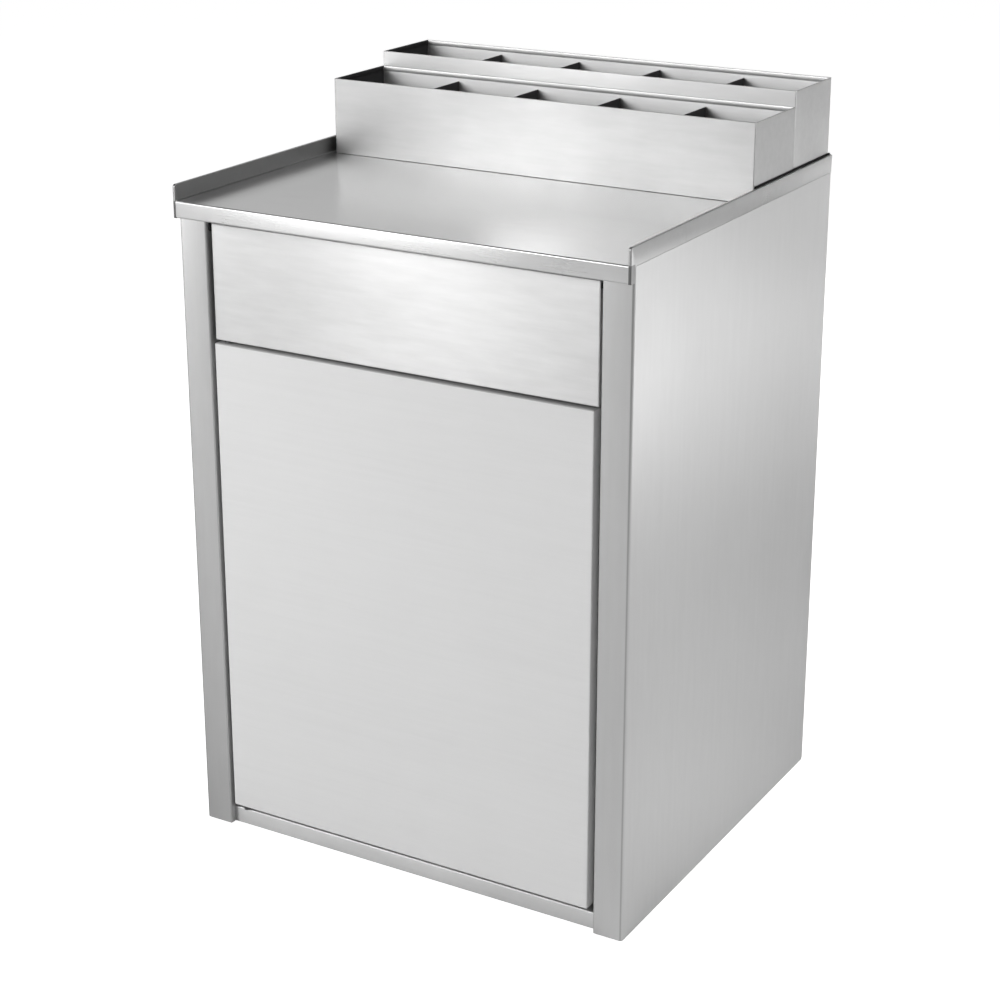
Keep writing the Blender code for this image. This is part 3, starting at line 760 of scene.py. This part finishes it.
# ---------------------------------------------------------------- black strip beside the organiser, painted shade
def seal():
    """A black strip along the gap between the organiser and the right raised edge: painted shade where the gap
    looks dark.
    """
    x0, x1 = 332.15, 334.3
    y0, y1 = mm_box("organiser_front")[0][1] + 0.5, mm_box("organiser_rear")[1][1] - 0.6
    outline = [(x0, 918.0), (x1 - 0.4, 918.0), (x1 - 0.4, 938.9), (x1 + 0.5, 939.2), (x1 + 0.6, 939.9)]
    for k in range(7):
        a = 0.5 * math.pi * k / 6
        outline.append((x1 - 0.4 + 0.9 * math.cos(a), 940.1 + 0.9 * math.sin(a)))
    outline += [(x0 + 0.3, 941.0), (x0, 940.7)]
    bm = bmesh.new()
    rows_to_faces(bm, [[(x, y, z) for x, z in outline] for y in (y0, y1)])
    piece("organiser_gap_shade", bm, "cabinet", SEAL, "rubber")


seal()


# ---------------------------------------------------------------- floor and backdrop
# glowing floor patches, painted light: x, y, radius, brightness
FLOOR_PATCHES = (
    (2.6, 1.2, 0.8, 3.1),
    (1.9, 2.7, 0.8, 1.15),
    (2.5, 5.6, 1.3, 1.25),
    (0.8, 0.5, 0.45, 0.27),
    (0.55, 0.0, 0.3, 0.22),
)


def floor():
    bm = bmesh.new()
    rings = (0.0, 1.5, 4.0, 12.0, 60.0)
    made = []
    for r in rings[1:]:
        made.append([
            bm.verts.new((r * math.cos(2 * math.pi * k / 64), r * math.sin(2 * math.pi * k / 64), 0.0))
            for k in range(64)
        ])
    bm.faces.new(made[0])
    for low, high in zip(made, made[1:]):
        for k in range(64):
            j = (k + 1) % 64
            bm.faces.new((low[k], high[k], high[j], low[j]))
    mesh = bpy.data.meshes.new("floor")
    bm.to_mesh(mesh)
    bm.free()
    obj = bpy.data.objects.new("floor", mesh)
    scene.collection.objects.link(obj)
    made, t = new_material("floor_white")
    seen = t.add("ShaderNodeLightPath").outputs["Is Camera Ray"]
    matt = t.add("ShaderNodeBsdfDiffuse")
    place = t.add("ShaderNodeSeparateXYZ")
    t.link(t.add("ShaderNodeTexCoord").outputs["Object"], place.inputs[0])

    def spot(x, y, r):
        """1 in the middle, fading out at about twice the radius."""
        dx = t.math("DIVIDE", t.math("SUBTRACT", place.outputs[0], x), r)
        dy = t.math("DIVIDE", t.math("SUBTRACT", place.outputs[1], y), r)
        away = t.math("MULTIPLY_ADD", dx, dx, t.math("MULTIPLY", dy, dy))
        return t.math("POWER", 2.718, t.math("MULTIPLY", away, -1.0))

    matt.inputs["Color"].default_value = (0.80, 0.80, 0.80, 1.0)
    # painted light: soft glowing patches on the floor to the right of the object, seen only by rays that are not
    # camera rays
    total = None
    for n, (x, y, r, strength) in enumerate(FLOOR_PATCHES):
        patch = t.add("ShaderNodeMath", operation="MULTIPLY", name="patch_%d" % n)
        t.link(spot(x, y, r), patch.inputs[0])
        patch.inputs[1].default_value = strength
        total = t.math("ADD", patch.outputs[0], total) if total else patch.outputs[0]
    lit = t.add("ShaderNodeEmission")
    t.link(total, lit.inputs["Strength"])
    ground = t.add("ShaderNodeAddShader")
    t.link(matt.outputs[0], ground.inputs[0])
    t.link(lit.outputs[0], ground.inputs[1])
    white = t.add("ShaderNodeEmission")
    white.inputs["Color"].default_value = (1.0, 1.0, 1.0, 1.0)
    white.inputs["Strength"].default_value = 0.965
    pale = t.add("ShaderNodeBsdfDiffuse")
    pale.inputs["Color"].default_value = (0.5, 0.5, 0.5, 1.0)
    both = t.add("ShaderNodeAddShader")
    t.link(white.outputs[0], both.inputs[0])
    t.link(pale.outputs[0], both.inputs[1])
    pick = t.add("ShaderNodeMixShader")
    t.link(seen, pick.inputs[0])
    t.link(ground.outputs[0], pick.inputs[1])
    t.link(both.outputs[0], pick.inputs[2])
    out = t.add("ShaderNodeOutputMaterial")
    t.link(pick.outputs[0], out.inputs["Surface"])
    obj.data.materials.append(made)


floor()

world = bpy.data.worlds.new("studio")
scene.world = world
world.use_nodes = True
t = Tree(world.node_tree)
seen = t.add("ShaderNodeLightPath").outputs["Is Camera Ray"]
room = t.add("ShaderNodeBackground")
room.inputs["Color"].default_value = (1.0, 1.0, 1.0, 1.0)
room.inputs["Strength"].default_value = 0.05
paper = t.add("ShaderNodeBackground")
paper.inputs["Color"].default_value = (1.0, 1.0, 1.0, 1.0)
paper.inputs["Strength"].default_value = 1.0
pick = t.add("ShaderNodeMixShader")
t.link(seen, pick.inputs[0])
t.link(room.outputs[0], pick.inputs[1])
t.link(paper.outputs[0], pick.inputs[2])
out = t.add("ShaderNodeOutputWorld")
t.link(pick.outputs[0], out.inputs["Surface"])


# ---------------------------------------------------------------- lights
def softbox(name, at, aim, wide, tall, watts):
    data = bpy.data.lights.new(name, "AREA")
    data.shape = "RECTANGLE"
    data.size = wide
    data.size_y = tall
    data.energy = watts
    obj = bpy.data.objects.new(name, data)
    obj.location = at
    obj.rotation_mode = "QUATERNION"
    obj.rotation_quaternion = (Vector(aim) - Vector(at)).to_track_quat("-Z", "Y")
    obj.visible_camera = False
    scene.collection.objects.link(obj)
    return obj


def round_table(name, azimuth, elevation, size, watts, away=3.2):
    """A square softbox that looks at the object from a bearing; 0 is the front, 90 the right."""
    a, e = math.radians(azimuth), math.radians(elevation)
    at = (
        away * math.cos(e) * math.sin(a),
        -away * math.cos(e) * math.cos(a),
        max(0.65, 0.5 + away * math.sin(e)),
    )
    return softbox(name, at, (0.0, 0.0, 0.6), size, size, watts)


softbox("key", (-2.0, -3.3, 2.0), (0.0, -0.2, 0.7), 0.7, 1.6, 15.5)
softbox("key_low", (-2.0, -3.3, 0.8), (0.0, -0.2, 0.7), 0.7, 1.4, 11.3)
round_table("left_low", 300, 4, 1.2, 19.0)
round_table("front_high", 345, 28, 1.3, 24.0)
round_table("left_high", 315, 28, 1.3, 16.5)
round_table("right_top", 90, 52, 1.5, 56.0)
round_table("right_front_high", 60, 46, 1.5, 11.0)
round_table("front_low", 3, 5, 1.6, 4.5)
round_table("right_front_low", 35, 12, 1.6, 7.0)
round_table("right_low", 92, 5, 1.6, 4.5)
round_table("right_back_low", 120, 4, 1.2, 8.3)
round_table("back_low", 180, 4, 1.2, 20.0)
round_table("back_high", 199, 28, 1.3, 3.7)
round_table("back_left_high", 221, 28, 1.3, 2.5)
round_table("back_left_top", 225, 52, 1.5, 3.4)

# ---------------------------------------------------------------- camera
CAM_TARGET = Vector((-0.0211, 0.0025, 0.5385))
CAM_AZ, CAM_EL = math.radians(30.21), math.radians(19.23)
CAM_DIST = 3.159
CAM_LENS = 80.2

data = bpy.data.cameras.new("camera")
data.sensor_width = 36.0
data.lens = CAM_LENS
data.shift_y = -0.055
data.clip_start, data.clip_end = 0.05, 100.0
cam = bpy.data.objects.new("camera", data)
back = Vector((
    math.sin(CAM_AZ) * math.cos(CAM_EL),
    -math.cos(CAM_AZ) * math.cos(CAM_EL),
    math.sin(CAM_EL),
))
cam.location = CAM_TARGET + back * CAM_DIST
cam.rotation_mode = "QUATERNION"
cam.rotation_quaternion = (-back).to_track_quat("-Z", "Y")
scene.collection.objects.link(cam)
scene.camera = cam

scene.view_settings.view_transform = "Standard"

# ---------------------------------------------------------------- the end
bpy.context.view_layer.update()
